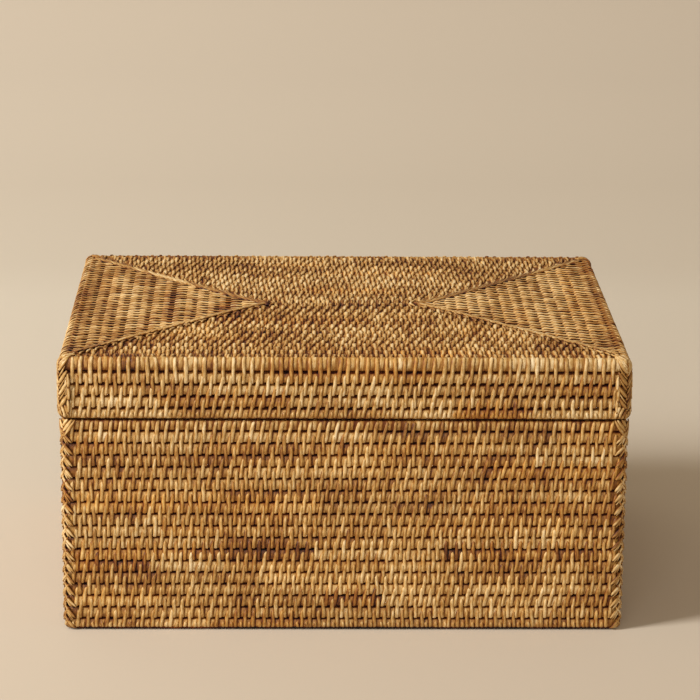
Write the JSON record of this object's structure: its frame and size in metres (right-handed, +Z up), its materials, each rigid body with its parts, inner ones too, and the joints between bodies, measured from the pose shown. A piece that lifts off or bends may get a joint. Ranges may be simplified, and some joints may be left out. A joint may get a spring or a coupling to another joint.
{
  "type": "lidded rattan storage box",
  "caption": "Rectangular storage box of coiled, peel-bound rattan canes with plaited corners and a shallow lift-off lid whose top is a mitred rectangular coil.",
  "frame": {"origin": "centre of the footprint at the underside of the lowest course, where the box rests", "axes": "+X along the long front, to the right seen from the front; +Y from the front to the back; +Z up"},
  "size_m": [0.4058, 0.2978, 0.2046],
  "materials": {
    "bound_cane": "rattan cane bound with split peel, honey brown, dull to slightly glossy",
    "peel": "split rattan peel, smooth, slightly glossy"
  },
  "bodies": {
    "base": {"base_course_01": "bound_cane", "base_course_02": "bound_cane", "base_course_03": "bound_cane", "base_course_04": "bound_cane", "base_course_05": "bound_cane", "base_course_06": "bound_cane", "base_course_07": "bound_cane", "base_course_08": "bound_cane", "base_course_09": "bound_cane", "base_course_10": "bound_cane", "base_course_11": "bound_cane", "base_course_12": "bound_cane", "base_course_13": "bound_cane", "base_course_14": "bound_cane", "base_course_15": "bound_cane", "base_course_16": "bound_cane", "base_course_17": "bound_cane", "base_course_18": "bound_cane", "lip_course_1": "bound_cane", "lip_course_2": "bound_cane", "lip_course_3": "bound_cane", "lip_course_4": "bound_cane", "floor_coil": "bound_cane", "base_plait_front_left": "peel", "base_plait_front_right": "peel", "base_plait_back_right": "peel", "base_plait_back_left": "peel", "floor_mitre_front_left": "peel", "floor_mitre_front_right": "peel", "floor_mitre_back_right": "peel", "floor_mitre_back_left": "peel"},
    "lid": {"lid_side_course_1": "bound_cane", "lid_side_course_2": "bound_cane", "lid_side_course_3": "bound_cane", "lid_side_course_4": "bound_cane", "lid_edge_course": "bound_cane", "lid_top_coil": "bound_cane", "lid_plait_front_left": "peel", "lid_plait_front_right": "peel", "lid_plait_back_right": "peel", "lid_plait_back_left": "peel", "lid_mitre_front_left": "peel", "lid_mitre_front_right": "peel", "lid_mitre_back_right": "peel", "lid_mitre_back_left": "peel"}
  },
  "joints": [
    {"name": "lid_lift", "type": "slide", "parent": "base", "child": "lid", "axis": [0, 0, 1], "range_m": [0, 0.12]}
  ]
}
